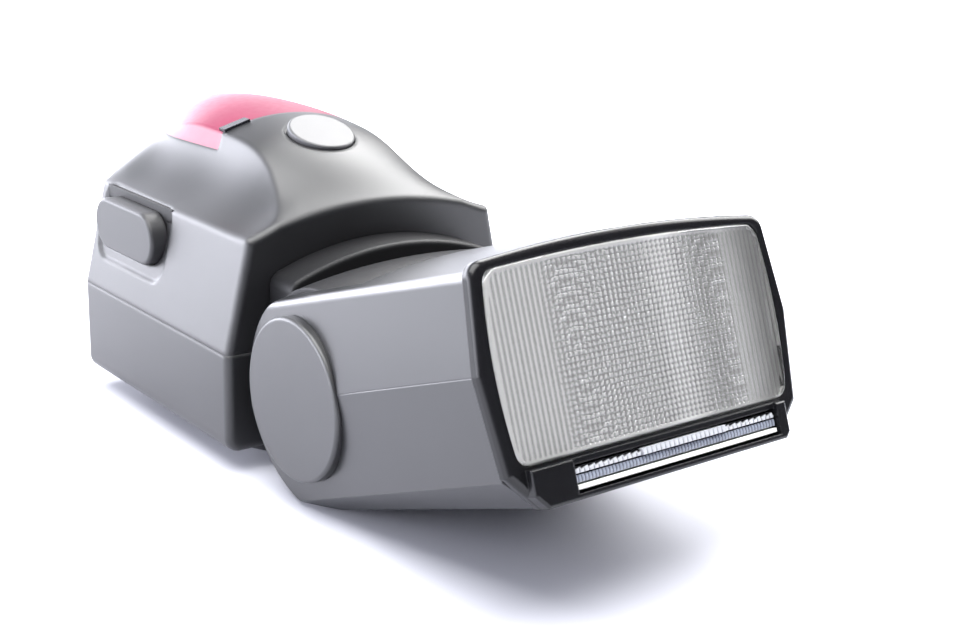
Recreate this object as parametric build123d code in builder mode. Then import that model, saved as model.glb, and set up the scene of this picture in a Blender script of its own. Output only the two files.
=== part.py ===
"""Speedlight flash lying on its back: body, swivelling neck and tilting zoom head.

X runs across the flash, -Y points to the lens, +Y to the hot-shoe foot and Z is up.
The tilt axis passes through the pivot, and most sizes are given from that pivot.
"""
import os
from math import cos, radians, sin, tan

from build123d import *

os.makedirs("parts", exist_ok=True)

# ---------------------------------------------------------------- driving dimensions (mm)
PIVOT_Y = -18.0          # tilt axis in the row frame
PIVOT_Z = 22.0
PITCH = 20.5             # head raised from the body's axis at rest
FIT = 0.05               # radial clearance of a running fit
GAP = 0.3                # clearance between pieces that move past each other
WALL = 1.8

# head, measured along itself from the pivot
SHELL_END = 57.9
BEZEL_END = 60.0
LIP_END = 61.6
HEAD_REAR = -24.0
HEAD_HALF = 31.7         # half width at the parting line, at the pivot
HEAD_FLARE = 0.031       # growth of the half width per mm forward
HEAD_DRAFT = 1.6
BROW = 18.1              # height of the upper side edges at the pivot
BROW_SLOPE = -0.043
CROWN = 22.0             # height of the arched top at the pivot
CROWN_SLOPE = -0.053
SILL = -18.7             # lower side edges
SILL_SLOPE = 0.039
BELLY = -21.7            # flat of the card compartment
BELLY_HALF = 25.5
FORK = 27.2              # half width of the head's opening around the neck drum
FORK_END = 22.5
CAP_R = 15.3
CAP_SEAT = 30.4
CAP_FACE = 32.8
HUB_R = 7.0

# front bezel, a little wider than the shells behind it
BEZEL_HALF = 33.9
BEZEL_BROW = (31.9, 17.0)
BEZEL_CROWN = 18.9
BEZEL_SILL = (32.2, -15.8)
BEZEL_BELLY_HALF = 26.6
LIP_X = (-28.8, 27.6)
LIP_TOP = -15.2

# compartment of the wide-angle panel and the bounce card
SLOT_LEFT = -20.6
SLOT_RIGHT = 25.3
SLOT_TOP = -16.2
SLOT_BOTTOM = -20.6
SLOT_REAR = 15.5

# window of the head
LENS_BACK = 58.3
LENS_FRONT = 60.3
LENS_HALF = 31.0
LENS_TOP_HALF = 29.8
LENS_BOTTOM_HALF = 29.6
LENS_TOP = 15.6
LENS_ARCH = 16.8
LENS_BOTTOM = -14.7

# zoom mechanism
ROD_R = 1.25
ROD_X = 27.6
ROD_T = -9.5
SCREW_R = 1.5
SCREW_X = -26.4
SCREW_T = 8.0
CARRIAGE_REAR = 30.0
TUBE_R = 1.6
TUBE_A = 36.0

# neck
PLATFORM_FRONT = 13.0
PLATFORM_BACK = 21.2
PLATFORM_HALF = 24.6
DRUM_HALF = 26.5
DRUM_R = 16.3
HOOD_R = 22.4
HOOD_END_R = 19.7
TUBE_OUT = 12.0
TUBE_IN = 8.5

# body, measured from the pivot
BODY_FRONT = 21.6
BODY_BACK = 86.0
BODY_HALF = 33.9
PARTING_Z = 2.5
SHOULDER_X = 28.8
SHOULDER_Z = 24.5
KEEL = -17.6
PANEL_BASE = -22.0
HUMP = (                 # distance from pivot, crown height, crease half width, crease height, flank dip
    (BODY_FRONT, 29.1, 23.0, 26.2, 0.0),
    (27.0, 32.4, 19.0, 29.0, 0.7),
    (33.5, 36.2, 16.2, 32.8, 1.8),
    (42.0, 39.4, 15.0, 37.0, 3.0),
    (50.0, 41.0, 15.2, 38.4, 3.6),
    (60.0, 42.2, 15.8, 39.0, 3.6),
    (70.0, 42.9, 16.4, 38.4, 2.8),
    (78.0, 42.7, 16.0, 36.6, 1.0),
    (BODY_BACK, 41.6, 13.4, 33.6, -0.4),
)
CELL_R = 7.2
CELL_LENGTH = 50.0
CELL_YS = (51.0, 66.0)
CELL_ZS = (-5.4, 9.5)

# battery door on the right side
DOOR_Y = (43.5, 73.5)
DOOR_Z = (-11.0, 15.0)
DOOR_AXIS_X = 32.6
DOOR_AXIS_Z = -10.0

# terminal cover on the left side
COVER_Y = (54.0, 81.0)
COVER_Z = (11.9, 22.9)
COVER_FACE = -33.1
COVER_BACK = -29.2

# hot-shoe foot
FOOT_Z = 4.0
WHEEL_Y = (89.4, 96.9)
WHEEL_R = 11.5
FOOT_CORE_R = 9.2
SHOE_Y = (98.7, 100.7)
SHOE_WIDTH = 18.6
SHOE_LENGTH = 18.0
SHOE_NECK = 12.4
LOCK_PIN_R = 1.2

# ---------------------------------------------------------------- planes
pivot = Vector(0, PIVOT_Y, PIVOT_Z)
ahead = Vector(0, -cos(radians(PITCH)), sin(radians(PITCH)))
across = (1, 0, 0)
skyward = Vector(0, sin(radians(PITCH)), cos(radians(PITCH)))
head_end = Plane(origin=pivot, x_dir=across, z_dir=ahead)          # (x, up), offset along the head
head_side = Plane(origin=pivot, x_dir=ahead, z_dir=(-1, 0, 0))     # (along, up), offset to the left
head_under = Plane(origin=pivot, x_dir=across, z_dir=-skyward)     # (x, along), offset downward
body_end = Plane(origin=pivot, x_dir=across, z_dir=(0, -1, 0))     # (x, up), offset toward the lens
body_side = Plane(origin=pivot, x_dir=(0, 1, 0), z_dir=across)     # (along, up), offset to the right
body_top = Plane(origin=pivot, x_dir=across, z_dir=(0, 0, 1))      # (x, along), offset upward


def slab(plane, first, second, depth, mode=Mode.ADD, corner=0.0):
    """Extrude a rectangle, given by its limits on the plane, in the open part."""
    with BuildSketch(plane) as profile:
        with Locations(((first[0] + first[1]) / 2, (second[0] + second[1]) / 2)):
            Rectangle(first[1] - first[0], second[1] - second[0])
        if corner:
            fillet(profile.vertices(), corner)
    extrude(profile.sketch, amount=depth, mode=mode)


def rod(plane, places, radius, depth, mode=Mode.ADD, inner=0.0):
    """Extrude circles or rings at points of the plane in the open part."""
    with BuildSketch(plane) as profile:
        with Locations(*places):
            Circle(radius)
            if inner:
                Circle(inner, mode=Mode.SUBTRACT)
    extrude(profile.sketch, amount=depth, mode=mode)


def finish(builder, label):
    """Name a finished piece and write it to its own file."""
    builder.part.label = label
    export_step(builder.part, f"parts/{label}.step")


def head_outline(along, inset=0.0):
    """Section across the head: drafted sides, arched top, flat belly with slanted flanks."""
    half = HEAD_HALF + HEAD_FLARE * along - inset
    corner = half - HEAD_DRAFT
    brow = BROW + BROW_SLOPE * along - inset
    crown = CROWN + CROWN_SLOPE * along - inset
    sill = SILL + SILL_SLOPE * along + inset
    belly = BELLY + inset
    with BuildSketch(head_end.offset(along)) as section:
        with BuildLine():
            Polyline((-half, 0), (-corner, brow))
            ThreePointArc((-corner, brow), (0, crown), (corner, brow))
            Polyline((corner, brow), (half, 0), (corner, sill), (BELLY_HALF, belly))
            Polyline((BELLY_HALF, belly), (-BELLY_HALF, belly), (-corner, sill), (-half, 0))
        make_face()
        upper = section.vertices().group_by(Axis(pivot, skyward))[-1]
        fillet(upper, max(2.0 - inset, 0.4))
    return section.sketch


def lens_outline(along, grow=0.0):
    """Outline of the head's window: bowed sides, arched top and rounded corners."""
    side = LENS_HALF + grow
    top = LENS_TOP_HALF + grow
    base = LENS_BOTTOM_HALF + grow
    low = LENS_BOTTOM - grow
    high = LENS_TOP + grow
    with BuildSketch(head_end.offset(along)) as section:
        with BuildLine():
            ThreePointArc((-base, low), (-side, 0), (-top, high))
            ThreePointArc((-top, high), (0, LENS_ARCH + grow), (top, high))
            ThreePointArc((top, high), (side, 0), (base, low))
            Line((base, low), (-base, low))
        make_face()
        fillet(section.vertices(), 2.4 + grow)
    return section.sketch


def bezel_outline(along, inset=0.0):
    """Section across the front bezel: drafted sides, arched top and slanted lower flanks."""
    half = BEZEL_HALF - inset
    corner = BEZEL_BROW[0] - inset
    brow = BEZEL_BROW[1] - inset
    cheek = BEZEL_SILL[0] - inset
    belly = BELLY + inset
    with BuildSketch(head_end.offset(along)) as section:
        with BuildLine():
            Line((-half, 0), (-corner, brow))
            ThreePointArc((-corner, brow), (0, BEZEL_CROWN - inset), (corner, brow))
            Polyline((corner, brow), (half, 0), (cheek, BEZEL_SILL[1]), (BEZEL_BELLY_HALF, belly),
                     (-BEZEL_BELLY_HALF, belly), (-cheek, BEZEL_SILL[1]), (-half, 0))
        make_face()
        upper = section.vertices().group_by(Axis(pivot, skyward))[-1]
        fillet(upper, 3.0)
    return section.sketch


def body_outline(station, inset=0.0):
    """Upper section of the body: leaning sides, shoulders, scooped flanks and an arched hump."""
    distance, crown, crease, height, dip = station
    half = BODY_HALF - inset
    shoulder = SHOULDER_X - inset
    ledge = SHOULDER_Z - inset
    crease = crease - 0.6 * inset
    height = height - inset
    middle = ((shoulder + crease) / 2, (ledge + height) / 2 - dip - 0.05)
    with BuildSketch(body_end.offset(-distance)) as section:
        with BuildLine():
            Polyline((half, PARTING_Z - 1), (half, PARTING_Z), (shoulder, ledge))
            ThreePointArc((shoulder, ledge), middle, (crease, height))
            ThreePointArc((crease, height), (0, crown - inset), (-crease, height))
            ThreePointArc((-crease, height), (-middle[0], middle[1]), (-shoulder, ledge))
            Polyline((-shoulder, ledge), (-half, PARTING_Z), (-half, PARTING_Z - 1), (half, PARTING_Z - 1))
        make_face()
    return section.sketch


# ---------------------------------------------------------------- forms shared by several pieces
with BuildPart() as head_form:
    loft(sections=[head_outline(HEAD_REAR), head_outline(SHELL_END)], ruled=True)
    with BuildSketch(head_side) as head_profile:
        with BuildLine():
            Polyline((SHELL_END, -23), (SHELL_END, 24), (0, 24), (0, 19))
            ThreePointArc((0, 19), (-13.3, 13.3), (-18.2, 0))
            ThreePointArc((-18.2, 0), (-14.2, -14.4), (0, -21.8))
            Polyline((0, -21.8), (0, -23), (SHELL_END, -23))
        make_face()
    extrude(head_profile.sketch, amount=40, both=True, mode=Mode.INTERSECT)
    for side in (-1, 1):
        seat = Plane(origin=pivot + Vector(side * CAP_SEAT, 0, 0), x_dir=ahead, z_dir=(side, 0, 0))
        rod(seat, [(0, 0)], CAP_R + FIT, 6, mode=Mode.SUBTRACT)

with BuildPart() as head_hollow:
    loft(sections=[head_outline(FORK_END, WALL), head_outline(SHELL_END + 1, WALL)], ruled=True)
    slab(head_under.offset(-SLOT_TOP - 1.0), (-40, 40), (0, 70), 20, mode=Mode.SUBTRACT)

with BuildPart() as body_form:
    loft(sections=[body_outline(station) for station in HUMP])
    slab(body_end.offset(-BODY_FRONT), (-BODY_HALF, BODY_HALF), (KEEL, PARTING_Z - 0.5),
         BODY_FRONT - BODY_BACK)
    fillet(body_form.edges().filter_by(Axis.Y).group_by(Axis.Z)[0], 3.0)
    ends = body_form.faces().filter_by(Axis.Y).edges()
    ridges = body_form.edges().filter_by(lambda edge: edge.bounding_box().size.Y > 50
                                         and edge.center().Z > PIVOT_Z + SHOULDER_Z - 2)
    fillet(ends + ridges, 1.4)

with BuildPart() as body_hollow:
    loft(sections=[body_outline((station[0], *station[1:]), 2.0) for station in HUMP])
    slab(body_end.offset(-BODY_FRONT), (2.6 - BODY_HALF, BODY_HALF - 2.6), (KEEL + 1.9, PARTING_Z),
         BODY_FRONT - BODY_BACK)
    slab(body_end.offset(-BODY_FRONT), (-40, 40), (-40, 60), -2.8, mode=Mode.SUBTRACT)
    slab(body_end.offset(-BODY_BACK), (-40, 40), (-40, 60), 2.0, mode=Mode.SUBTRACT)

# ---------------------------------------------------------------- head: shells, bezel and window
SLOT = (SLOT_LEFT, SLOT_RIGHT)
FLOOR_TOP = SLOT_TOP + 1.0                     # inner floor of the head, above the card compartment
CAP_SCREWS = ((-9.0, 8.0), (-9.0, -8.0), (10.0, 7.0), (10.0, -7.0))


def cap_face(side, distance=CAP_SEAT):
    """Plane on the left (-1) or right (+1) of the head, facing outward."""
    return Plane(origin=pivot + Vector(side * distance, 0, 0), x_dir=ahead, z_dir=(side, 0, 0))


def cap_screws(side, mode=Mode.ADD):
    """Four screws, or their holes, that hold the two shells under a side cap."""
    rod(cap_face(side, CAP_SEAT - 2.6), [(along, -side * up) for along, up in CAP_SCREWS], 1.0, 2.6, mode)


with BuildPart() as head_front_shell:
    add(head_form.part)
    add(head_hollow.part, mode=Mode.SUBTRACT)
    slab(head_under, (-40, 40), (-40, 70), 40, mode=Mode.SUBTRACT)
    slab(head_under, (-FORK, FORK), (-30, FORK_END), -40, mode=Mode.SUBTRACT)
    rod(body_side.offset(-40), [(0, 0)], HUB_R + FIT, 80, mode=Mode.SUBTRACT)
    cap_screws(-1, Mode.SUBTRACT)
    cap_screws(1, Mode.SUBTRACT)
finish(head_front_shell, "head_front_shell")

with BuildPart() as head_back_shell:
    add(head_form.part)
    add(head_hollow.part, mode=Mode.SUBTRACT)
    slab(head_under, (-40, 40), (-40, 70), -40, mode=Mode.SUBTRACT)
    slab(head_under, (-FORK, FORK), (-30, -12), 40, mode=Mode.SUBTRACT)
    slab(head_under, (-FORK, FORK), (-13, FORK_END), -FLOOR_TOP, mode=Mode.SUBTRACT)
    rod(body_side.offset(-FORK), [(0, 0)], DRUM_R + 0.9, 2 * FORK, mode=Mode.SUBTRACT)
    slab(head_under.offset(-SLOT_TOP), SLOT, (SLOT_REAR, 70), SLOT_TOP - SLOT_BOTTOM, mode=Mode.SUBTRACT)
    rod(body_side.offset(-40), [(0, 0)], HUB_R + FIT, 80, mode=Mode.SUBTRACT)
    cap_screws(-1, Mode.SUBTRACT)
    cap_screws(1, Mode.SUBTRACT)
finish(head_back_shell, "head_back_shell")

with BuildPart() as head_screws:
    cap_screws(-1)
    cap_screws(1)
finish(head_screws, "head_screws")

with BuildPart() as lip:
    extrude(bezel_outline(BEZEL_END - 1.5, 0.1), amount=LIP_END - BEZEL_END + 1.5)
    slab(head_end.offset(BEZEL_END - 3), LIP_X, (BELLY - 1, LIP_TOP), 8, mode=Mode.INTERSECT)
    fillet(lip.faces().sort_by(Axis(pivot, ahead))[-1].edges(), 0.5)

with BuildPart() as front_bezel:
    extrude(bezel_outline(SHELL_END), amount=BEZEL_END - SHELL_END)
    fillet(front_bezel.faces().sort_by(Axis(pivot, ahead))[-1].edges(), 1.2)
    add(lip.part)
    extrude(lens_outline(SHELL_END - 1, -1.2), amount=6, mode=Mode.SUBTRACT)
    extrude(lens_outline(LENS_BACK, FIT), amount=6, mode=Mode.SUBTRACT)
    slab(head_under.offset(-SLOT_TOP), SLOT, (SHELL_END - 1, 70), SLOT_TOP - SLOT_BOTTOM, mode=Mode.SUBTRACT)
    slab(head_under.offset(14.0), SLOT, (LIP_END - 1.0, 70), 3.0, mode=Mode.SUBTRACT)
finish(front_bezel, "front_bezel")

with BuildPart() as flash_lens:
    extrude(lens_outline(LENS_BACK), amount=LENS_FRONT - LENS_BACK)
    fillet(flash_lens.faces().sort_by(Axis(pivot, ahead))[-1].edges(), 0.5)
finish(flash_lens, "flash_lens")

PLATE = (SLOT_LEFT + GAP, SLOT_RIGHT - GAP)    # the two plates of the wide-angle panel
PLATE_REAR = SLOT_REAR + 1
PLATE_WEB = 50.0                               # the plates are joined behind this point
TAB = (-6.0, 13.0)                             # finger tab of the upper plate
CARD = (SLOT_LEFT + 0.5, SLOT_RIGHT - 0.5)

with BuildPart() as wide_panel:
    slab(head_under.offset(-SLOT_TOP + GAP), PLATE, (PLATE_REAR, 60.9), 1.2)
    slab(head_under.offset(-SLOT_TOP + 0.4), TAB, (60.0, 61.3), 1.0)
    slab(head_under.offset(-SLOT_TOP + 1.6), PLATE, (PLATE_REAR, 60.7), 1.3)
    slab(head_under.offset(-SLOT_TOP + 1.4), PLATE, (PLATE_REAR, PLATE_WEB), 0.3)
finish(wide_panel, "wide_panel")

with BuildPart() as bounce_card:
    slab(head_under.offset(-SLOT_BOTTOM - 1.2), CARD, (PLATE_REAR, 61.0), 0.7)
finish(bounce_card, "bounce_card")

# ---------------------------------------------------------------- head: side caps and lock button
BUTTON_R = 5.5

with BuildPart() as side_cap_left:
    rod(cap_face(-1), [(0, 0)], CAP_R, CAP_FACE - CAP_SEAT)
    fillet(side_cap_left.faces().sort_by(Axis.X)[0].edges(), 0.7)
finish(side_cap_left, "side_cap_left")

with BuildPart() as side_cap_right:
    rod(cap_face(1), [(0, 0)], CAP_R, CAP_FACE - CAP_SEAT)
    fillet(side_cap_right.faces().sort_by(Axis.X)[-1].edges(), 0.7)
    rod(cap_face(1), [(0, 0)], BUTTON_R + FIT, 10, mode=Mode.SUBTRACT)
finish(side_cap_right, "side_cap_right")

with BuildPart() as tilt_lock_button:
    rod(cap_face(1, CAP_SEAT + 1.2), [(0, 0)], BUTTON_R, 2.0)
    fillet(tilt_lock_button.faces().sort_by(Axis.X)[-1].edges(), 0.4)
finish(tilt_lock_button, "tilt_lock_button")

# ---------------------------------------------------------------- head: zoom mechanism and lamp
FRAME_A = 24.8
FRAME_THICK = 1.6
MOTOR_END = 33.4
CARRIAGE_END = 45.0
CARRIAGE_HALF = 21.6
CARRIAGE_UP = 13.6
RODS = [(-ROD_X, ROD_T), (ROD_X, ROD_T)]
SPINDLE = [(SCREW_X, SCREW_T)]
COIL = [(26.2, SCREW_T)]

with BuildPart() as zoom_frame:
    slab(head_end.offset(FRAME_A), (-28.8, 28.8), (FLOOR_TOP + 0.1, 14.6), FRAME_THICK, corner=2.0)
    rod(head_end.offset(FRAME_A), RODS, ROD_R, FRAME_THICK, mode=Mode.SUBTRACT)
    slab(head_end.offset(FRAME_A), (-12, 12), (-8, 8), FRAME_THICK, mode=Mode.SUBTRACT, corner=2.0)
finish(zoom_frame, "zoom_frame")

with BuildPart() as guide_rods:
    rod(head_end.offset(FRAME_A), RODS, ROD_R, SHELL_END - FRAME_A)
finish(guide_rods, "guide_rods")

with BuildPart() as zoom_motor:
    rod(head_end.offset(FRAME_A + FRAME_THICK), SPINDLE, 3.4, MOTOR_END - FRAME_A - FRAME_THICK)
finish(zoom_motor, "zoom_motor")

with BuildPart() as zoom_screw:
    rod(head_end.offset(MOTOR_END + 0.1), SPINDLE, SCREW_R, SHELL_END - GAP - MOTOR_END - 0.1)
finish(zoom_screw, "zoom_screw")

with BuildPart() as trigger_coil:
    rod(head_end.offset(FRAME_A + FRAME_THICK), COIL, 2.8, 12.0)
finish(trigger_coil, "trigger_coil")

with BuildPart() as zoom_carriage:
    slab(head_end.offset(CARRIAGE_REAR), (-CARRIAGE_HALF, CARRIAGE_HALF), (-CARRIAGE_UP, CARRIAGE_UP),
         CARRIAGE_END - CARRIAGE_REAR, corner=1.0)
    for side in (-1, 1):
        inner = (side * (CARRIAGE_HALF - 1), side * ROD_X)
        slab(head_end.offset(CARRIAGE_REAR + 1), (min(inner), max(inner)), (ROD_T - 1.8, ROD_T + 1.8), 9)
    rod(head_end.offset(CARRIAGE_REAR + 1), RODS, 2.1, 9)
    slab(head_end.offset(MOTOR_END + 2), (SCREW_X, 1 - CARRIAGE_HALF), (SCREW_T - 2, SCREW_T + 2), 5)
    rod(head_end.offset(MOTOR_END + 2), SPINDLE, 2.6, 5)
    slab(head_end.offset(CARRIAGE_REAR - 1), (-20.1, 20.1), (-12.6, 12.6), 20, mode=Mode.SUBTRACT)
    rod(head_end.offset(CARRIAGE_REAR), RODS, ROD_R + FIT, 20, mode=Mode.SUBTRACT)
    rod(head_end.offset(CARRIAGE_REAR), SPINDLE, SCREW_R + FIT, 20, mode=Mode.SUBTRACT)
    rod(head_side.offset(-30), [(TUBE_A, 0)], TUBE_R + FIT, 60, mode=Mode.SUBTRACT)
finish(zoom_carriage, "zoom_carriage")

with BuildPart() as reflector:
    with BuildSketch(head_side.offset(-20.0)) as bowl:
        with BuildLine():
            ThreePointArc((CARRIAGE_END - 0.5, 12.4), (CARRIAGE_REAR + 1.5, 0), (CARRIAGE_END - 0.5, -12.4))
            Line((CARRIAGE_END - 0.5, -12.4), (CARRIAGE_END - 0.5, -11.7))
            ThreePointArc((CARRIAGE_END - 0.5, -11.7), (CARRIAGE_REAR + 2.2, 0), (CARRIAGE_END - 0.5, 11.7))
            Line((CARRIAGE_END - 0.5, 11.7), (CARRIAGE_END - 0.5, 12.4))
        make_face()
    extrude(bowl.sketch, amount=40.0)
finish(reflector, "reflector")

with BuildPart() as flash_tube:
    rod(head_side.offset(-CARRIAGE_HALF - 0.8), [(TUBE_A, 0)], TUBE_R, 2 * CARRIAGE_HALF + 1.6)
finish(flash_tube, "flash_tube")

# ---------------------------------------------------------------- neck
with BuildPart() as neck_platform:
    with BuildSketch(body_end.offset(-PLATFORM_FRONT)) as crescent:
        with BuildLine():
            Line((-PLATFORM_HALF, 17.2), (-PLATFORM_HALF, -17.0))
            Line((-PLATFORM_HALF, -17.0), (PLATFORM_HALF, -17.0))
            Line((PLATFORM_HALF, -17.0), (PLATFORM_HALF, 17.2))
            ThreePointArc((PLATFORM_HALF, 17.2), (0, 22.3), (-PLATFORM_HALF, 17.2))
        make_face()
        fillet(crescent.vertices(), 3.0)
    extrude(crescent.sketch, amount=PLATFORM_FRONT - PLATFORM_BACK)
    fillet(neck_platform.faces().sort_by(Axis.Y)[0].edges(), 0.8)
    rod(body_end.offset(-PLATFORM_FRONT), [(0, 0)], TUBE_IN, -20, mode=Mode.SUBTRACT)
    rod(body_end.offset(-17), [(0, 0)], TUBE_OUT, -20, mode=Mode.SUBTRACT)
finish(neck_platform, "neck_platform")

with BuildPart() as neck_drum:
    with BuildSketch(body_top) as hood:
        with BuildLine():
            ThreePointArc((-DRUM_HALF, HOOD_END_R), (0, HOOD_R), (DRUM_HALF, HOOD_END_R))
            Polyline((DRUM_HALF, HOOD_END_R), (DRUM_HALF, 14), (-DRUM_HALF, 14), (-DRUM_HALF, HOOD_END_R))
        make_face()
    revolve(hood.sketch, axis=Axis(pivot, (1, 0, 0)), revolution_arc=125)
    rod(body_side.offset(-DRUM_HALF), [(0, 0)], DRUM_R, 2 * DRUM_HALF)
    slab(body_end.offset(-PLATFORM_FRONT), (-40, 40), (-40, 40), -20, mode=Mode.SUBTRACT)
    rod(body_side.offset(-22), [(0, 0)], 13.0, 44, mode=Mode.SUBTRACT)
    rod(body_end, [(0, 0)], TUBE_IN, -20, mode=Mode.SUBTRACT)
    rod(body_side.offset(-40), [(0, 0)], HUB_R, 80, mode=Mode.SUBTRACT)
finish(neck_drum, "neck_drum")

with BuildPart() as tilt_hubs:
    for side in (-1, 1):
        rod(cap_face(side, 21.0), [(0, 0)], HUB_R, CAP_SEAT - 0.2 - 21.0, inner=4.0)
finish(tilt_hubs, "tilt_hubs")

with BuildPart() as swivel_tube:
    rod(body_end.offset(-17), [(0, 0)], TUBE_OUT, -12, inner=TUBE_IN)
finish(swivel_tube, "swivel_tube")

with BuildPart() as swivel_bearing:
    rod(body_end.offset(-BODY_FRONT - 2.8), [(0, 0)], 13.3, -1.6, inner=TUBE_OUT + FIT)
finish(swivel_bearing, "swivel_bearing")

with BuildPart() as swivel_retainer:
    rod(body_end.offset(-BODY_FRONT - 4.7), [(0, 0)], 13.3, -2.0, inner=TUBE_OUT)
finish(swivel_retainer, "swivel_retainer")

# ---------------------------------------------------------------- body: shells and what is let into them
WINDOW_Y = 55.5
WINDOW_Z = 35.2
POSTS = [(-26.5, 27.5), (26.5, 27.5), (-26.5, 79.3), (26.5, 79.3)]
LEAN = 13.05                                    # angle of the upper side walls
CAP_PLANE_Y = 42.0
CAP_PLANE_Z = 39.3
CAP_SLOPE = 20.0
POWER_CAP_R = 7.0

side_out = Vector(-cos(radians(LEAN)), 0, sin(radians(LEAN)))
RECESS_FOOT = 8.8                               # lower edge of the shallow recess around the cover
cover_z = (COVER_Z[0] + COVER_Z[1]) / 2
cover_y = (COVER_Y[0] + COVER_Y[1]) / 2
cover_plane = Plane(origin=pivot + Vector(COVER_FACE, cover_y, cover_z), x_dir=(0, -1, 0), z_dir=(-1, 0, 0))
recess_x = -BODY_HALF + (RECESS_FOOT - PARTING_Z) * tan(radians(LEAN))
recess_plane = Plane(origin=pivot + Vector(recess_x, cover_y, RECESS_FOOT), x_dir=(0, -1, 0), z_dir=side_out)
power_plane = Plane(origin=pivot + Vector(0, CAP_PLANE_Y, CAP_PLANE_Z), x_dir=across,
                    z_dir=(0, -sin(radians(CAP_SLOPE)), cos(radians(CAP_SLOPE))))
sensor_plane = Plane(origin=pivot + Vector(-12.3, 56.0, 39.9), x_dir=(0.96, 0, 0.28), z_dir=(-0.28, 0, 0.96))


def stadium(plane, width, height, depth, mode=Mode.ADD):
    """Extrude a slot shape centred on the plane."""
    with BuildSketch(plane) as profile:
        SlotOverall(width, height)
    extrude(profile.sketch, amount=depth, mode=mode)


with BuildPart() as body_skin:
    add(body_form.part)
    add(body_hollow.part, mode=Mode.SUBTRACT)
    rod(body_end, [(0, 0)], TUBE_OUT + FIT, -40, mode=Mode.SUBTRACT)
    with BuildSketch(recess_plane.offset(-0.6)) as recess:
        with Locations((0, 8.6)):
            RectangleRounded(30.0, 16.0, 4.0)
    extrude(recess.sketch, amount=3, taper=-50, mode=Mode.SUBTRACT)
    stadium(cover_plane.offset(-8), 27.6, 11.6, 12, mode=Mode.SUBTRACT)
    rod(power_plane.offset(-6), [(0, 0)], POWER_CAP_R - 1.2, 12, mode=Mode.SUBTRACT)
    rod(power_plane.offset(-1.0), [(0, 0)], POWER_CAP_R + GAP, 12, mode=Mode.SUBTRACT)
    slab(sensor_plane.offset(-1.2), (-3.2, 3.2), (-1.3, 1.3), 6, mode=Mode.SUBTRACT)

with BuildPart() as window_block:
    slab(body_top.offset(WINDOW_Z), (-24, 24), (WINDOW_Y, BODY_BACK + 2), 20)

with BuildPart() as door_block:
    slab(body_top.offset(DOOR_Z[0]), (20, 40), DOOR_Y, DOOR_Z[1] - DOOR_Z[0])

with BuildPart() as door_hole:
    slab(body_top.offset(DOOR_Z[0] - 0.8), (20, 40), (DOOR_Y[0] - GAP, DOOR_Y[1] + GAP),
         DOOR_Z[1] - DOOR_Z[0] + 0.8 + GAP)

hinge_point = [(DOOR_AXIS_X, DOOR_AXIS_Z)]

with BuildPart() as body_front_shell:
    add(body_skin.part)
    slab(body_top.offset(PARTING_Z), (-60, 60), (-10, 120), -60, mode=Mode.SUBTRACT)
    add(window_block.part, mode=Mode.SUBTRACT)
    add(door_hole.part, mode=Mode.SUBTRACT)
finish(body_front_shell, "body_front_shell")

with BuildPart() as body_rear_shell:
    add(body_skin.part)
    slab(body_top.offset(PARTING_Z), (-60, 60), (-10, 120), 60, mode=Mode.SUBTRACT)
    rod(body_top.offset(KEEL + 1), POSTS, 3.0, PARTING_Z - KEEL - 1)
    rod(body_top.offset(KEEL), POSTS, 1.2, 14.0, mode=Mode.SUBTRACT)
    rod(body_top.offset(KEEL), POSTS, 2.3, 1.6, mode=Mode.SUBTRACT)
    add(door_hole.part, mode=Mode.SUBTRACT)
    rod(body_end.offset(-41.5), hinge_point, 0.8, -34, mode=Mode.SUBTRACT)
finish(body_rear_shell, "body_rear_shell")

with BuildPart() as body_screws:
    rod(body_top.offset(KEEL), POSTS, 1.2, 13.0)
    rod(body_top.offset(KEEL), POSTS, 2.3, 1.6)
finish(body_screws, "body_screws")

with BuildPart() as af_window:
    add(body_skin.part)
    add(window_block.part, mode=Mode.INTERSECT)
finish(af_window, "af_window")

with BuildPart() as battery_door:
    add(body_skin.part)
    add(door_block.part, mode=Mode.INTERSECT)
    rod(body_end.offset(-40), hinge_point, 0.8 + FIT, -40, mode=Mode.SUBTRACT)
finish(battery_door, "battery_door")

with BuildPart() as door_pin:
    rod(body_end.offset(-41.5), hinge_point, 0.8, -34)
finish(door_pin, "door_pin")

with BuildPart() as terminal_cover:
    stadium(cover_plane.offset(COVER_FACE - COVER_BACK), 27.0, 11.0, COVER_BACK - COVER_FACE)
    fillet(terminal_cover.faces().sort_by(Axis.X)[0].edges(), 0.8)
finish(terminal_cover, "terminal_cover")

SOCKET_DEEP = 2.4
SYNC = [(-7.5, -0.8)]
ACCESSORY = [(6.5, -0.8)]
socket_plane = cover_plane.offset(COVER_FACE - COVER_BACK - GAP - SOCKET_DEEP)

with BuildPart() as terminal_block:
    slab(socket_plane, (-15.0, 15.0), (-7.0, 7.0), SOCKET_DEEP)
    add(body_skin.part, mode=Mode.SUBTRACT)
    rod(socket_plane, SYNC, 3.6, 4, mode=Mode.SUBTRACT)
    rod(socket_plane, ACCESSORY, 4.4, 4, mode=Mode.SUBTRACT)
finish(terminal_block, "terminal_block")

with BuildPart() as sync_socket:
    rod(socket_plane, SYNC, 3.6, SOCKET_DEEP, inner=2.4)
    rod(socket_plane, SYNC, 2.4, 0.6)
    rod(socket_plane, SYNC, 0.7, SOCKET_DEEP - 0.2)
finish(sync_socket, "sync_socket")

with BuildPart() as accessory_socket:
    rod(socket_plane, ACCESSORY, 4.4, SOCKET_DEEP, inner=3.8)
    rod(socket_plane, ACCESSORY, 3.8, 0.6)
    with Locations(socket_plane):
        with Locations((*ACCESSORY[0], 0)):
            with PolarLocations(2.1, 3):
                Cylinder(0.5, SOCKET_DEEP - 0.4, align=(Align.CENTER, Align.CENTER, Align.MIN))
finish(accessory_socket, "accessory_socket")

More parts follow.
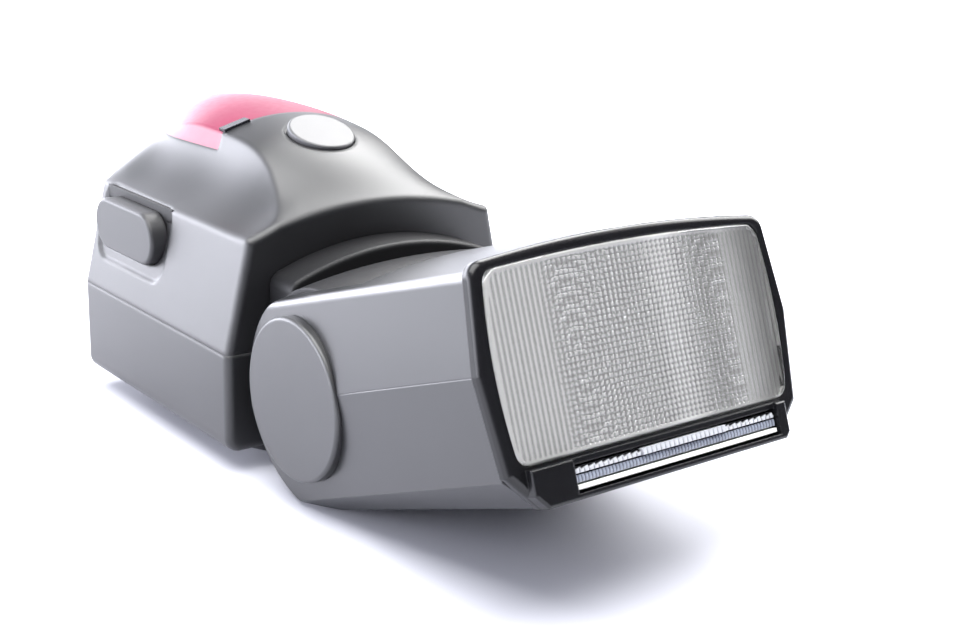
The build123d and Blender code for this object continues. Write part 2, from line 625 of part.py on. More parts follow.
with BuildPart() as power_socket:
    rod(power_plane.offset(-6), [(0, 0)], POWER_CAP_R - 1.2, 4.4, inner=4.6)
    rod(power_plane.offset(-6), [(0, 0)], 4.6, 0.8)
    with Locations(power_plane.offset(-6)):
        with PolarLocations(2.4, 3):
            Cylinder(0.6, 3.4, align=(Align.CENTER, Align.CENTER, Align.MIN))
finish(power_socket, "power_socket")

with BuildPart() as power_cap:
    rod(power_plane.offset(-0.7), [(0, 0)], POWER_CAP_R, 1.5)
    fillet(power_cap.faces().sort_by(Axis(pivot, power_plane.z_dir))[-1].edges(), 0.5)
finish(power_cap, "power_cap")

with BuildPart() as sensor_window:
    slab(sensor_plane.offset(-1.2), (-3.1, 3.1), (-1.2, 1.2), 1.6)
finish(sensor_window, "sensor_window")

# ---------------------------------------------------------------- body: inside
with BuildPart() as aa_cells:
    spots = [(y, z) for y in CELL_YS for z in CELL_ZS]
    rod(body_side.offset(-24.7), spots, CELL_R, CELL_LENGTH - 1)
    rod(body_side.offset(-25.7 + CELL_LENGTH), spots, 2.7, 1.0)
finish(aa_cells, "aa_cells")

with BuildPart() as cell_contacts:
    for y in CELL_YS:
        slab(body_side.offset(-25.2), (y - 6, y + 6), (CELL_ZS[0] - 4, CELL_ZS[1] + 4), 0.5)
finish(cell_contacts, "cell_contacts")

with BuildPart() as door_contacts:
    slab(body_side.offset(25.6), (CELL_YS[0] - 4, CELL_YS[1] + 4), (CELL_ZS[0] - 4, CELL_ZS[0] + 4), 0.5)
    rod(body_side.offset(25.6), [(y, CELL_ZS[0]) for y in CELL_YS], 2.0, 5.7)
finish(door_contacts, "door_contacts")

with BuildPart() as main_capacitor:
    rod(body_end.offset(-52), [(0, 27.0)], 7.8, -28)
finish(main_capacitor, "main_capacitor")

with BuildPart() as transformer:
    slab(body_top.offset(-11), (-8, 8), (31, 42), 13)
finish(transformer, "transformer")

with BuildPart() as af_module:
    slab(body_top.offset(35.2), (-5, 5), (60, 74), 3.6)
finish(af_module, "af_module")

# ---------------------------------------------------------------- rear control panel
PANEL_X = (-31.0, 31.0)                         # where the panel meets the shell
PANEL_Y = (24.0, 78.0)
FACE_X = (-21.5, 21.5)                          # flat face of the panel, which the flash lies on
FACE_Y = (27.0, 75.0)
PANEL_SKIN = 1.6
LCD_X = (-16.0, 16.0)
LCD_Y = (30.0, 47.0)
KEYS = {                 # centre and size of each key on the panel
    "mode_key": (-13.5, 54.0, 10.0, 5.0),
    "zoom_key": (0.0, 54.0, 10.0, 5.0),
    "power_key": (13.5, 54.0, 10.0, 5.0),
    "minus_key": (-13.5, 64.0, 10.0, 5.0),
    "plus_key": (0.0, 64.0, 10.0, 5.0),
    "test_key": (13.5, 64.0, 10.0, 5.0),
}
LAMP = [(13.5, 70.5)]


def key_plane(x, y, height):
    """Plane at a key's centre, facing out of the back of the flash."""
    return Plane(origin=pivot + Vector(x, y, height), x_dir=across, z_dir=(0, 0, -1))


def panel_outline(height, x_limits, y_limits, corner):
    """Rounded rectangle at a height on the back of the flash."""
    with BuildSketch(body_top.offset(height)) as section:
        with Locations((0, (y_limits[0] + y_limits[1]) / 2)):
            RectangleRounded(x_limits[1] - x_limits[0], y_limits[1] - y_limits[0], corner)
    return section.sketch


with BuildPart() as rear_panel:
    panel_root = panel_outline(KEEL, PANEL_X, PANEL_Y, 5.0)
    loft(sections=[panel_root, panel_outline(PANEL_BASE, FACE_X, FACE_Y, 4.0)], ruled=True)
    slab(body_top.offset(PANEL_BASE + PANEL_SKIN), (FACE_X[0] + 1, FACE_X[1] - 1),
         (FACE_Y[0] + 1, FACE_Y[1] - 1), 10, mode=Mode.SUBTRACT, corner=2.0)
    slab(body_top.offset(PANEL_BASE), LCD_X, LCD_Y, 5, mode=Mode.SUBTRACT, corner=1.0)
    rod(body_top.offset(PANEL_BASE), LAMP, 1.6, 5, mode=Mode.SUBTRACT)
    for x, y, width, height in KEYS.values():
        stadium(key_plane(x, y, KEEL), width + 0.5, height + 0.5, 8, mode=Mode.SUBTRACT)
finish(rear_panel, "rear_panel")

with BuildPart() as lcd_window:
    slab(body_top.offset(PANEL_BASE + 0.2), (LCD_X[0] + 0.05, LCD_X[1] - 0.05),
         (LCD_Y[0] + 0.05, LCD_Y[1] - 0.05), PANEL_SKIN - 0.2, corner=1.0)
finish(lcd_window, "lcd_window")

with BuildPart() as lcd_module:
    slab(body_top.offset(PANEL_BASE + PANEL_SKIN), (-18, 18), (29, 48), 2.4)
finish(lcd_module, "lcd_module")

with BuildPart() as main_board:
    slab(body_top.offset(KEEL + 2.2), (-22.5, 22.5), (31, 75), 1.2)
finish(main_board, "main_board")

with BuildPart() as ready_lamp:
    rod(body_top.offset(PANEL_BASE + 0.2), LAMP, 1.6, 3.0)
finish(ready_lamp, "ready_lamp")

for key_name, (x, y, width, height) in KEYS.items():
    with BuildPart() as key:
        stadium(key_plane(x, y, PANEL_BASE + 3.3), width, height, 3.0)
        fillet(key.faces().sort_by(Axis.Z)[0].edges(), 0.3)
        stadium(key_plane(x, y, PANEL_BASE + 2.6), width + 2, height + 2, 0.8)
    finish(key, key_name)

# ---------------------------------------------------------------- hot-shoe foot
FOOT = (0, FOOT_Z)
LOCK_PIN = (4.6, FOOT_Z + 6.0)
CONTACTS = [(0, FOOT_Z), (-3.8, FOOT_Z - 3.6), (3.8, FOOT_Z - 3.6), (-3.8, FOOT_Z + 3.6)]
foot_depth = (FOOT_Z - SHOE_LENGTH / 2, FOOT_Z + SHOE_LENGTH / 2)

with BuildPart() as foot_base:
    slab(body_end.offset(-BODY_BACK), (-14, 14), (FOOT_Z - 12, FOOT_Z + 12), BODY_BACK - WHEEL_Y[0] + GAP,
         corner=5.0)
    rod(body_end.offset(-BODY_BACK), [FOOT], FOOT_CORE_R, BODY_BACK - WHEEL_Y[1] - GAP)
    slab(body_end.offset(-WHEEL_Y[1]), (-SHOE_NECK / 2, SHOE_NECK / 2), foot_depth, WHEEL_Y[1] - SHOE_Y[0])
    rod(body_end.offset(-WHEEL_Y[0]), [LOCK_PIN], LOCK_PIN_R + FIT, -20, mode=Mode.SUBTRACT)
    rod(body_end.offset(-SHOE_Y[0] + 1), CONTACTS, 0.9, -20, mode=Mode.SUBTRACT)
finish(foot_base, "foot_base")

with BuildPart() as shoe_plate:
    slab(body_end.offset(-SHOE_Y[0]), (-SHOE_WIDTH / 2, SHOE_WIDTH / 2), foot_depth, SHOE_Y[0] - SHOE_Y[1],
         corner=1.2)
    rod(body_end.offset(-SHOE_Y[0]), [LOCK_PIN], LOCK_PIN_R + FIT, -20, mode=Mode.SUBTRACT)
    rod(body_end.offset(-SHOE_Y[0]), CONTACTS, 0.9, -20, mode=Mode.SUBTRACT)
finish(shoe_plate, "shoe_plate")

with BuildPart() as foot_contacts:
    rod(body_end.offset(-SHOE_Y[0] + 1), CONTACTS, 0.9, -3.4)
    fillet(foot_contacts.faces().group_by(Axis.Y)[-1].edges(), 0.3)
finish(foot_contacts, "foot_contacts")

with BuildPart() as lock_pin:
    rod(body_end.offset(-WHEEL_Y[0] - 1), [LOCK_PIN], LOCK_PIN_R, WHEEL_Y[0] + 1 - SHOE_Y[1] + 0.3)
finish(lock_pin, "lock_pin")

with BuildPart() as lock_wheel:
    with BuildSketch(body_end.offset(-WHEEL_Y[0])) as ring:
        with Locations(FOOT):
            Circle(WHEEL_R)
            Circle(FOOT_CORE_R + FIT, mode=Mode.SUBTRACT)
            with PolarLocations(WHEEL_R + 0.15, 30):
                Circle(0.6, mode=Mode.SUBTRACT)
    extrude(ring.sketch, amount=WHEEL_Y[0] - WHEEL_Y[1])
finish(lock_wheel, "lock_wheel")
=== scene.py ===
import math

import bmesh
import bpy
from mathutils import Matrix, Vector


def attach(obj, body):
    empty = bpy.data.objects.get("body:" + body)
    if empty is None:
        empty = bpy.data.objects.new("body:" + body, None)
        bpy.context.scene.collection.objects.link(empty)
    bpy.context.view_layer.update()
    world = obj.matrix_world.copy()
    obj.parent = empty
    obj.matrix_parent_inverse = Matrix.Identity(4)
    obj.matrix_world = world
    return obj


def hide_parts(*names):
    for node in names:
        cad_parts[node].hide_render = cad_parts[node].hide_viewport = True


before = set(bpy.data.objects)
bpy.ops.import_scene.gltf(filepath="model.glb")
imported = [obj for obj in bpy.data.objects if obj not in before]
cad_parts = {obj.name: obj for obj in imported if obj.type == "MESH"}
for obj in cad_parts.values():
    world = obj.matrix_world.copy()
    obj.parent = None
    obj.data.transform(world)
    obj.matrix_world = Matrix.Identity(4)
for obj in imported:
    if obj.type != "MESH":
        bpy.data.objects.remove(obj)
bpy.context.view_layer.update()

MM = 0.001

# ---------------------------------------------------------------- places
PIVOT = Vector((0.0, -18.0, 22.0))              # tilt axis of the head
PITCH = math.radians(20.5)                      # head raised from the body's axis
AHEAD = Vector((0.0, -math.cos(PITCH), math.sin(PITCH)))
SKYWARD = Vector((0.0, math.sin(PITCH), math.cos(PITCH)))


def head_point(x, along, up):
    """A point of the head, in mm from the tilt axis, as a point of the scene."""
    return (PIVOT + Vector((x, 0, 0)) + AHEAD * along + SKYWARD * up) * MM


# ---------------------------------------------------------------- camera, floor and light
CAMERA_PLACE = (-0.166448, -0.24221, 0.117052)
CAMERA_YAW, CAMERA_PITCH, CAMERA_ROLL = math.radians(38.22), math.radians(16.859), math.radians(1.721)
camera_data = bpy.data.cameras.new("camera")
camera_data.lens = 57.25
camera_data.sensor_width = 36.0
camera_data.clip_start = 0.01
camera = bpy.data.objects.new("camera", camera_data)
bpy.context.scene.collection.objects.link(camera)
turn = (Matrix.Rotation(-CAMERA_YAW, 4, "Z") @ Matrix.Rotation(math.pi / 2 - CAMERA_PITCH, 4, "X")
        @ Matrix.Rotation(CAMERA_ROLL, 4, "Z"))
camera.matrix_world = Matrix.Translation(CAMERA_PLACE) @ turn
bpy.context.scene.camera = camera
bpy.context.scene.view_settings.view_transform = "Standard"


class Nodes:
    """Adds nodes to a tree and links them by socket name."""

    def __init__(self, tree):
        self.tree = tree

    def add(self, kind, inputs=None, **settings):
        node = self.tree.nodes.new(kind)
        for name, value in settings.items():
            setattr(node, name, value)
        for name, value in (inputs or {}).items():
            socket = node.inputs[name]
            if isinstance(value, bpy.types.NodeSocket):
                self.tree.links.new(value, socket)
            else:
                socket.default_value = value
        return node

    def noise(self, place, scale, detail=2.0, rough=0.5):
        return self.add("ShaderNodeTexNoise", {"Vector": place, "Scale": scale, "Detail": detail,
                                               "Roughness": rough}).outputs["Fac"]

    def span(self, value, low, high, start=0.35, end=0.65):
        return self.add("ShaderNodeMapRange", {"Value": value, "From Min": start, "From Max": end,
                                               "To Min": low, "To Max": high}).outputs["Result"]

    def mix(self, share, first, second):
        node = self.add("ShaderNodeMix", data_type="RGBA")
        for socket, value in zip((node.inputs[0], node.inputs[6], node.inputs[7]), (share, first, second)):
            if isinstance(value, bpy.types.NodeSocket):
                self.tree.links.new(value, socket)
            else:
                socket.default_value = value
        return node.outputs[2]


def rgb(colour, gain=1.0):
    """A colour scaled in strength, with alpha."""
    return (colour[0] * gain, colour[1] * gain, colour[2] * gain, 1.0)


BRIGHT_SIDE = (-0.62, 0.78, 0.10)               # where the tent is brightest: behind and to the left
TENT_LOW = (12.7, 12.9, 14.2, 1.0)
TENT_HIGH = (1.4, 1.44, 1.56, 1.0)
TENT_FRONT = (0.05, 0.052, 0.06, 1.0)


def set_world():
    """A white tent: brightest low down behind and to the left, soft above, dark toward the front."""
    world = bpy.data.worlds.new("studio")
    world.use_nodes = True
    world.node_tree.nodes.clear()
    nodes = Nodes(world.node_tree)
    way = nodes.add("ShaderNodeTexCoord").outputs["Generated"]
    toward = nodes.add("ShaderNodeVectorMath", {0: way, 1: BRIGHT_SIDE}, operation="DOT_PRODUCT")
    share = nodes.span(toward.outputs["Value"], 0.0, 1.0, 0.18, 0.94)
    height = nodes.add("ShaderNodeSeparateXYZ", {"Vector": way}).outputs["Z"]
    band = nodes.span(height, 1.0, 0.0, 0.20, 0.50)
    colour = nodes.mix(share, TENT_FRONT, nodes.mix(band, TENT_HIGH, TENT_LOW))
    light = nodes.add("ShaderNodeBackground", {"Color": colour, "Strength": 1.0})
    nodes.add("ShaderNodeOutputWorld", {"Surface": light.outputs[0]})
    bpy.context.scene.world = world


def add_softbox(name, place, aim, size, power):
    """A rectangular area light at a place, turned toward a point."""
    data = bpy.data.lights.new(name, "AREA")
    data.shape = "RECTANGLE"
    data.size, data.size_y = size
    data.energy = power
    lamp = bpy.data.objects.new(name, data)
    bpy.context.scene.collection.objects.link(lamp)
    way = Vector(aim) - Vector(place)
    lamp.matrix_world = Matrix.Translation(place) @ way.to_track_quat("-Z", "Y").to_matrix().to_4x4()


set_world()
add_softbox("softbox_top", (-0.20, -0.10, 0.95), (0.0, -0.05, 0.0), (1.1, 0.9), 28.0)
add_softbox("softbox_right", (0.62, 0.42, 0.80), (0.0, 0.0, 0.03), (0.60, 0.60), 14.0)
add_softbox("softbox_side", (1.00, -0.05, 0.62), (0.0, -0.08, 0.0), (0.60, 0.60), 13.0)

# ---------------------------------------------------------------- materials


def start_material(name):
    """An empty node material, its node adder and the place on the piece."""
    material = bpy.data.materials.new(name)
    material.use_nodes = True
    material.node_tree.nodes.clear()
    nodes = Nodes(material.node_tree)
    place = nodes.add("ShaderNodeTexCoord").outputs["Object"]
    return material, nodes, place


def end_material(nodes, surface):
    """Link the shader to the material's output."""
    nodes.add("ShaderNodeOutputMaterial", {"Surface": surface.outputs[0]})


def plastic(name, colour, rough, grain=0.10, grain_scale=5200.0, edge=0.35, coat=0.0, wear=1.35, ior=1.48):
    """Moulded plastic: fine spark-eroded grain, faint colour drift, and edges that are rounded and rubbed."""
    material, nodes, place = start_material(name)
    drift = nodes.noise(place, 45.0, 3.0)
    base = nodes.mix(nodes.span(drift, 0.0, 1.0), rgb(colour, 0.90), rgb(colour, 1.10))
    rounded = nodes.add("ShaderNodeBevel", {"Radius": edge * MM}, samples=4).outputs["Normal"]
    flat = nodes.add("ShaderNodeNewGeometry").outputs["Normal"]
    bend = nodes.add("ShaderNodeVectorMath", {0: rounded, 1: flat}, operation="DOT_PRODUCT").outputs["Value"]
    rubbed = nodes.span(bend, 1.0, 0.0, 0.80, 0.98)
    patchy = nodes.add("ShaderNodeMath", {0: rubbed, 1: nodes.span(nodes.noise(place, 600.0), 0.4, 1.0)},
                       operation="MULTIPLY").outputs[0]
    base = nodes.mix(patchy, base, rgb(colour, wear))
    fine = nodes.noise(place, grain_scale, 2.0, 0.6)
    bump = nodes.add("ShaderNodeBump", {"Strength": grain, "Distance": 0.0001, "Height": fine,
                                        "Normal": rounded}).outputs["Normal"]
    gloss = nodes.span(nodes.noise(place, 60.0, 2.0), rough - 0.012, rough + 0.012, 0.2, 0.8)
    end_material(nodes, nodes.add("ShaderNodeBsdfPrincipled", {
        "Base Color": base, "Roughness": gloss, "Normal": bump, "IOR": ior,
        "Coat Weight": coat, "Coat Roughness": 0.12}))
    return material


def metal(name, colour, rough, scratch=0.05, stretch=(1.0, 14.0, 1.0)):
    """Plated or drawn metal with fine lines along one direction."""
    material, nodes, place = start_material(name)
    lines = nodes.add("ShaderNodeMapping", {"Vector": place, "Scale": stretch}).outputs["Vector"]
    streak = nodes.noise(lines, 900.0, 3.0, 0.6)
    base = nodes.mix(nodes.span(streak, 0.0, 1.0), rgb(colour, 0.88), rgb(colour, 1.05))
    gloss = nodes.span(streak, rough - 0.04, rough + 0.08)
    bump = nodes.add("ShaderNodeBump", {"Strength": scratch, "Distance": 0.0001, "Height": streak})
    end_material(nodes, nodes.add("ShaderNodeBsdfPrincipled", {
        "Base Color": base, "Roughness": gloss, "Metallic": 1.0, "Normal": bump.outputs["Normal"]}))
    return material


def clear(name, colour, rough, transmission=1.0, ior=1.49):
    """Clear or tinted moulded plastic with faint flow marks."""
    material, nodes, place = start_material(name)
    flow = nodes.noise(place, 160.0, 3.0)
    base = nodes.mix(nodes.span(flow, 0.0, 1.0), rgb(colour, 0.94), rgb(colour, 1.0))
    gloss = nodes.span(nodes.noise(place, 700.0, 3.0), rough, rough + 0.04)
    bump = nodes.add("ShaderNodeBump", {"Strength": 0.04, "Distance": 0.0001, "Height": flow})
    end_material(nodes, nodes.add("ShaderNodeBsdfPrincipled", {
        "Base Color": base, "Roughness": gloss, "Transmission Weight": transmission, "IOR": ior,
        "Normal": bump.outputs["Normal"]}))
    return material


def ribbed_clear(name, colour, rough, groove_shade_share, transmission=None):
    """Clear moulding that is milky on its ribs, with painted shade that darkens its colour in its grooves,
    down to the given share at the deepest point.

    Without a fixed transmission, each point's own haze says how milky the moulding is there; that haze holds
    painted light and shade as well as the moulding's own milkiness.
    """
    material, nodes, place = start_material(name)
    groove_shade = nodes.add("ShaderNodeAttribute", attribute_name="groove_shade").outputs["Fac"]
    # painted shade: the colour darkens where the groove shade is high, in grooves and notches
    base = nodes.mix(nodes.span(groove_shade, 0.0, 1.0, 0.15, 1.1), rgb(colour, 1.0), rgb(colour, groove_shade_share))
    gloss = nodes.span(nodes.noise(place, 700.0, 3.0), rough, rough + 0.05)
    if transmission is None:
        # the haze carries painted light and shade along with the moulding's own milkiness
        haze_and_painted_light = nodes.add("ShaderNodeAttribute", attribute_name="haze_and_painted_light").outputs["Fac"]
        transmission = nodes.add("ShaderNodeMath", {0: 1.0, 1: haze_and_painted_light}, operation="SUBTRACT").outputs[0]
    end_material(nodes, nodes.add("ShaderNodeBsdfPrincipled", {
        "Base Color": base, "Roughness": gloss, "Transmission Weight": transmission, "IOR": 1.49}))
    return material


SHELL = (0.012, 0.0122, 0.0138)
mats = {
    "shell": plastic("shell_plastic", SHELL, 0.29, grain=0.12, ior=1.62),
    "body": plastic("body_plastic", SHELL, 0.38, grain=0.14, ior=1.58, edge=1.3),
    # painted shade: a darker copy of the black plastic for the neck, which lies in shade between head and
    # body
    "neck": plastic("neck_plastic_painted_shade", (0.008, 0.008, 0.009), 0.46, grain=0.16, ior=1.32, edge=0.8),
    "shell_fine": plastic("side_cap_plastic", SHELL, 0.40, grain=0.18, ior=1.66),
    "cap": plastic("power_cap_plastic", (0.05, 0.05, 0.054), 0.40, grain=0.12, ior=1.55),
    "gloss": plastic("bezel_gloss", (0.006, 0.006, 0.007), 0.24, grain=0.03, wear=1.2, ior=1.38),
    "matte": plastic("black_matte_plastic", (0.026, 0.026, 0.028), 0.52, grain=0.2),
    "inside": plastic("inner_matte_plastic", (0.012, 0.012, 0.013), 0.6, grain=0.2),
    "rubber": plastic("cover_rubber", (0.022, 0.022, 0.024), 0.44, grain=0.25, grain_scale=4200.0, edge=0.5),
    "card": plastic("card_white", (0.86, 0.86, 0.83), 0.42, grain=0.05, wear=1.05),
    "steel": metal("satin_steel", (0.42, 0.42, 0.43), 0.34),
    "chrome": metal("bright_metal", (0.82, 0.82, 0.82), 0.14, 0.02),
    "mirror": metal("reflector_mirror", (0.88, 0.88, 0.87), 0.16, 0.03),
    "brass": metal("contact_brass", (0.78, 0.62, 0.32), 0.25),
    "copper": metal("winding_copper", (0.62, 0.28, 0.13), 0.34, 0.3, (1.0, 1.0, 16.0)),
    "board": plastic("circuit_board", (0.02, 0.14, 0.06), 0.3, grain=0.1, coat=0.4),
    "cell": plastic("cell_sleeve", (0.10, 0.12, 0.17), 0.28, grain=0.04, coat=0.3),
    "sleeve": plastic("capacitor_sleeve", (0.03, 0.04, 0.09), 0.3, grain=0.04, coat=0.3),
    "lens": ribbed_clear("lens_plastic", (0.79, 0.79, 0.77), 0.12, 0.46),
    "panel": ribbed_clear("wide_panel_plastic", (0.84, 0.86, 0.91), 0.10, 0.05, transmission=0.45),
    "red": clear("red_window_plastic", (0.20, 0.004, 0.040), 0.38, transmission=0.15, ior=1.50),
    "panel_blue": ribbed_clear("wide_panel_underside", (0.44, 0.48, 0.58), 0.10, 0.12, transmission=0.45),
    "smoke": clear("smoked_window", (0.05, 0.05, 0.06), 0.06, transmission=0.4),
    "sensor": clear("sensor_plastic", (0.02, 0.02, 0.025), 0.20, transmission=0.2, ior=1.35),
    "amber": clear("amber_lamp", (0.85, 0.32, 0.05), 0.12, transmission=0.6),
    "xenon": clear("xenon_glass", (0.93, 0.94, 0.95), 0.03),
    "lcd": plastic("lcd_glass", (0.36, 0.40, 0.32), 0.25, grain=0.02, coat=0.5),
}

CARRIED = {
    "shell": ("head_front_shell", "head_back_shell"),
    "body": ("body_front_shell", "body_rear_shell", "battery_door"),
    "neck": ("neck_platform", "neck_drum"),
    "shell_fine": ("side_cap_left", "side_cap_right"),
    "cap": ("power_cap",),
    "gloss": ("front_bezel",),
    "matte": ("rear_panel", "foot_base", "lock_wheel", "mode_key", "zoom_key", "minus_key", "plus_key",
              "power_key", "test_key", "tilt_lock_button"),
    "inside": ("terminal_block", "zoom_frame", "zoom_carriage", "af_module", "swivel_bearing", "swivel_tube",
               "tilt_hubs", "accessory_socket", "power_socket", "trigger_coil"),
    "rubber": ("terminal_cover",),
    "card": ("bounce_card",),
    "steel": ("body_screws", "head_screws", "shoe_plate", "guide_rods", "door_pin", "swivel_retainer",
              "zoom_screw", "zoom_motor", "lock_pin"),
    "chrome": ("sync_socket",),
    "mirror": ("reflector",),
    "brass": ("cell_contacts", "door_contacts", "foot_contacts"),
    "copper": ("transformer",),
    "board": ("main_board",),
    "cell": ("aa_cells",),
    "sleeve": ("main_capacitor",),
    "lens": ("flash_lens",),
    "panel": ("wide_panel",),
    "red": ("af_window",),
    "smoke": ("lcd_window",),
    "sensor": ("sensor_window",),
    "amber": ("ready_lamp",),
    "xenon": ("flash_tube",),
    "lcd": ("lcd_module",),
}


def dress(piece, key):
    """Give a piece one of the materials."""
    piece.data.materials.clear()
    piece.data.materials.append(mats[key])


for key, names in CARRIED.items():
    for name in names:
        dress(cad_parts[name], key)

# ---------------------------------------------------------------- helpers for new pieces


def make_piece(name, points, faces, key, body, smooth=0.6, shades=None):
    """A closed mesh piece that rides on a body; edges sharper than smooth (radians) stay sharp."""
    mesh = bpy.data.meshes.new(name)
    mesh.from_pydata([tuple(point) for point in points], [], faces)
    for title, values in (shades or {}).items():
        mesh.attributes.new(title, "FLOAT", "POINT").data.foreach_set("value", values)
    shape = bmesh.new()
    shape.from_mesh(mesh)
    bmesh.ops.recalc_face_normals(shape, faces=shape.faces)
    for edge in shape.edges:
        edge.smooth = len(edge.link_faces) == 2 and edge.calc_face_angle(0.0) < smooth
    for face in shape.faces:
        face.smooth = True
    shape.to_mesh(mesh)
    shape.free()
    piece = bpy.data.objects.new(name, mesh)
    bpy.context.scene.collection.objects.link(piece)
    dress(piece, key)
    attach(piece, body)
    return piece


def fade(value, start, end):
    """0 before start, 1 after end, smooth between."""
    share = min(1.0, max(0.0, (value - start) / (end - start)))
    return share * share * (3.0 - 2.0 * share)


def pillow(value, pitch):
    """A row of convex ribs: 1 at the middle of each, 0 in the grooves."""
    part = value / pitch - math.floor(value / pitch) - 0.5
    return 1.0 - 4.0 * part * part


# ---------------------------------------------------------------- window of the head
LENS_BACK, LENS_FRONT = 58.35, 60.25
LENS_LOW, LENS_HIGH, LENS_ARCH = -14.65, 15.55, 1.2
LENS_CORNER = 2.6
LENS_COLUMNS, LENS_ROWS = 500, 210
RIB_PITCH, ROW_PITCH, RING_PITCH = 1.02, 0.92, 0.70
RIB_DEEP = 0.20
SEAM_X = 1.5


def lens_half(share):
    """Half width of the window at a share of its height: bowed sides and rounded corners."""
    up = LENS_LOW + share * (LENS_HIGH - LENS_LOW)
    half = 30.95 - 1.25 * ((up + 0.3) / 15.3) ** 2
    for gap in (up - LENS_LOW, LENS_HIGH - up):
        if gap < LENS_CORNER:
            half -= LENS_CORNER - math.sqrt(max(0.0, LENS_CORNER ** 2 - (LENS_CORNER - gap) ** 2))
    return half


def lens_relief(x, up, margin):
    """Height of the window's relief: upright ribs at both ends, small lenses and rings between."""
    middle = fade(x, -20.5, -15.5) * (1.0 - fade(x, 19.6, 21.4))
    ribs = pillow(x, RIB_PITCH)
    rows = pillow(up, ROW_PITCH)
    centre = -14.0 if x < SEAM_X else 19.0
    rings = pillow(math.hypot(x - centre, up + 1.0), RING_PITCH)
    relief = RIB_DEEP * (ribs - 1.0) + middle * RIB_DEEP * (0.75 * (rows - 1.0) + 0.5 * (rings - 1.0))
    return relief * fade(margin, 0.5, 1.1)


def lens_haze_and_painted_light(x, up):
    """How milky the moulding looks: its even milkiness is its own, while the milkier band near the middle,
    the clearer band beside it, the clearer right end and the clearer upper right are painted light and shade.
    """
    haze_and_painted_light = 0.31 - 0.02 * fade(-x, 14.0, 20.0) + 0.10 * math.exp(-((x - 6.5) / 3.6) ** 2)
    haze_and_painted_light -= 0.10 * math.exp(-((x - 15.5) / 3.2) ** 2) + 0.27 * fade(x, 19.0, 29.0)
    return haze_and_painted_light * (1.0 - 0.25 * fade(x, 10.0, 26.0) * fade(up, 2.0, 14.0))


def make_lens():
    """The window as one closed piece: a relief in front, a flat back and a wall between them."""
    points, faces, grooves, haze_and_painted_light_values = [], [], [], []
    across = LENS_COLUMNS + 1
    for row in range(LENS_ROWS + 1):
        share = row / LENS_ROWS
        half = lens_half(share)
        for column in range(across):
            x = half * (2.0 * column / LENS_COLUMNS - 1.0)
            arch = LENS_ARCH * (1.0 - (x / 30.0) ** 2)
            up = LENS_LOW + share * (LENS_HIGH + arch - LENS_LOW)
            margin = min(half - abs(x), (up - LENS_LOW), (LENS_HIGH + arch - up))
            rim = -0.45 * (1.0 - math.sqrt(max(0.0, 1.0 - (1.0 - min(margin / 0.5, 1.0)) ** 2)))
            relief = lens_relief(x, up, margin)
            points.append(head_point(x, LENS_FRONT - 0.05 + rim + relief, up))
            # painted shade: the deeper the relief, the darker the colour
            grooves.append(-relief / RIB_DEEP)
            # painted light and shade in the haze bands
            haze_and_painted_light_values.append(lens_haze_and_painted_light(x, up))
    for row in range(LENS_ROWS):
        for column in range(LENS_COLUMNS):
            first = row * across + column
            faces.append((first, first + 1, first + across + 1, first + across))
    edge = (list(range(across))
            + [row * across + LENS_COLUMNS for row in range(1, LENS_ROWS + 1)]
            + [LENS_ROWS * across + column for column in range(LENS_COLUMNS - 1, -1, -1)]
            + [row * across for row in range(LENS_ROWS - 1, 0, -1)])
    base = len(points)
    for index in edge:
        point = points[index]
        along = (point / MM - PIVOT).dot(AHEAD)
        points.append(point - AHEAD * (along - LENS_BACK) * MM)
        grooves.append(0.0)
        haze_and_painted_light_values.append(0.3)
    count = len(edge)
    for i in range(count):
        j = (i + 1) % count
        faces.append((edge[i], edge[j], base + j, base + i))
    faces.append(tuple(base + i for i in range(count)))
    lens = make_piece("window_relief", points, faces, "lens", "head", smooth=1.2,
                      shades={"groove_shade": grooves, "haze_and_painted_light": haze_and_painted_light_values})
    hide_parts("flash_lens")


make_lens()

# ---------------------------------------------------------------- pull-out wide-angle panel
PANEL_LEFT, PANEL_RIGHT = -20.3, 25.0
PANEL_REAR, PANEL_EDGE, TAB_EDGE = 16.5, 60.85, 61.25
PANEL_STEPS = 454
TAB_LEFT, TAB_RIGHT = -6.0, 13.0
TOOTH, TOOTH_BACK, TOOTH_DROP = 1.5, 1.6, 0.55     # pitch, depth along the head and depth downward
SQUARE_PITCH, SQUARE_DEEP = 1.0, 0.14
FINE_PITCH, FINE_DEEP = 0.72, 0.16


def panel_bite(x):
    """Share of a saw tooth's depth along the panel's front edge, none at the tab."""
    if TAB_LEFT <= x <= TAB_RIGHT:
        return 0.0
    part = (x - PANEL_LEFT) / TOOTH
    return 1.0 - part + math.floor(part)


def make_bar(name, profile_at, key, body, smooth=0.35):
    """Sweep a section of (along, up, painted groove shade) points that changes from the panel's left end to
    its right.
    """
    points, faces, grooves = [], [], []
    ring = len(profile_at(0.0))
    for i in range(PANEL_STEPS + 1):
        x = PANEL_LEFT + (PANEL_RIGHT - PANEL_LEFT) * i / PANEL_STEPS
        for along, up, groove_shade in profile_at(x):
            points.append(head_point(x, along, up))
            grooves.append(groove_shade)
    for i in range(PANEL_STEPS):
        for k in range(ring):
            n = (k + 1) % ring
            faces.append((i * ring + k, i * ring + n, (i + 1) * ring + n, (i + 1) * ring + k))
    faces.append(tuple(range(ring)))
    faces.append(tuple(PANEL_STEPS * ring + k for k in range(ring)))
    return make_piece(name, points, faces, key, body, smooth,
                      shades={"groove_shade": grooves})


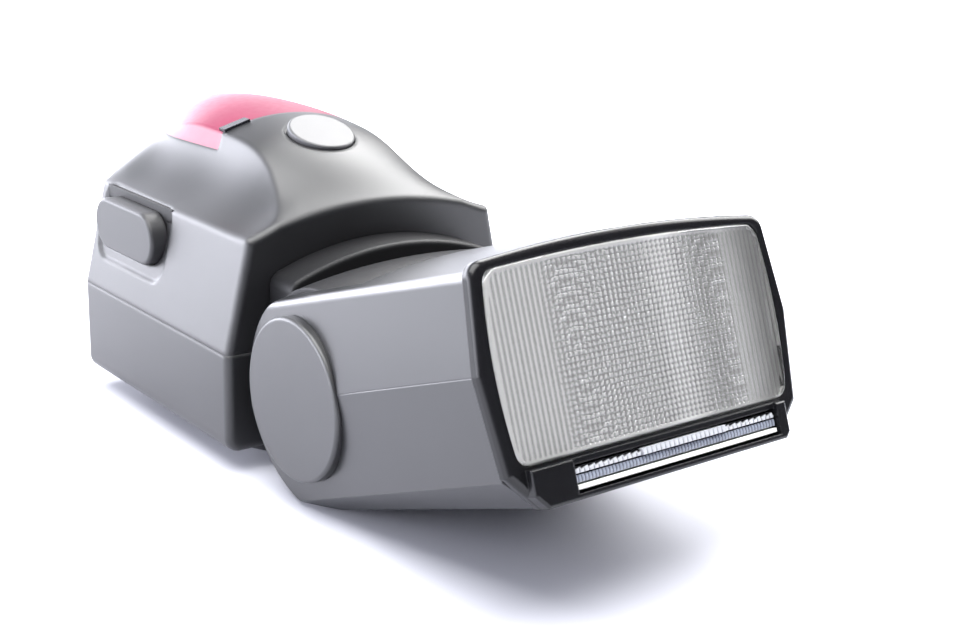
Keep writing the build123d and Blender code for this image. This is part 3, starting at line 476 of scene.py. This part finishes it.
def upper_plate(x):
    """Section of the upper plate: saw teeth along its top edge and a row of small squares below, with painted
    shade as each point's third value, darkest at the teeth and their notches and in the lines between the
    squares.
    """
    tab = TAB_LEFT <= x <= TAB_RIGHT
    front = TAB_EDGE if tab else PANEL_EDGE
    top = -16.5 if tab else -16.6
    bite = panel_bite(x)
    notch = front - 0.1 - TOOTH_BACK * bite
    edge = top - 0.08 - TOOTH_DROP * bite
    # painted shade on the teeth and their notches, none on the tab
    shade = 0.0 if tab else 1.1
    line = 1.0 - pillow(x, SQUARE_PITCH)
    relief = -SQUARE_DEEP * line
    # painted shade in the lines between the squares
    line = 0.15 + 0.85 * line * line
    return ((PANEL_REAR, top, 0.0), (front - 2.4, top, shade), (notch, top, shade), (notch, edge, shade),
            (front - 0.1 + relief, edge - 0.05, 0.6 * line), (front - 0.05 + relief, -17.32, line),
            (front - 0.1 + relief, -17.60, line), (front - 0.4, -17.68, 1.0), (PANEL_REAR, -17.68, 0.0))


def lower_plate(x):
    """Section of the lower plate, finely ribbed along its front, with painted shade in the grooves between
    the ribs.
    """
    line = 1.0 - pillow(x, FINE_PITCH)
    relief = -FINE_DEEP * line
    return ((PANEL_REAR, -17.86, 0.0), (60.4, -17.86, 0.8), (60.55 + relief, -17.95, line),
            (60.65 + relief, -18.5, line), (60.55 + relief, -19.05, line), (60.4, -19.12, 0.8),
            (PANEL_REAR, -19.12, 0.0))


panel = make_bar("wide_panel_plate", upper_plate, "panel", "wide_panel")
make_bar("wide_panel_underside", lower_plate, "panel_blue", "wide_panel")
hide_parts("wide_panel")

# ---------------------------------------------------------------- floor


# painted shade: the floor is greyer close round the flash than further out
FLOOR_NEAR_PAINTED_SHADE = (0.57, 0.575, 0.63, 1.0)
FLOOR_FAR = (0.90, 0.91, 0.98, 1.0)


def make_floor():
    """A white sheet that the flash lies on, with painted shade that makes it a little greyer round the flash
    itself.
    """
    mesh = bpy.data.meshes.new("floor")
    shape = bmesh.new()
    bmesh.ops.create_grid(shape, x_segments=8, y_segments=8, size=6.0)
    shape.to_mesh(mesh)
    shape.free()
    floor = bpy.data.objects.new("floor", mesh)
    bpy.context.scene.collection.objects.link(floor)
    material, nodes, place = start_material("floor_sheet")
    away = nodes.add("ShaderNodeVectorMath", {0: place}, operation="LENGTH").outputs["Value"]
    # painted shade: greyer near the flash, fading to white between 0.09 m and 0.22 m away
    colour = nodes.mix(nodes.span(away, 0.0, 1.0, 0.09, 0.22), FLOOR_NEAR_PAINTED_SHADE, FLOOR_FAR)
    end_material(nodes, nodes.add("ShaderNodeBsdfPrincipled", {"Base Color": colour, "Roughness": 0.7,
                                                               "Specular IOR Level": 0.2}))
    mesh.materials.append(material)


make_floor()
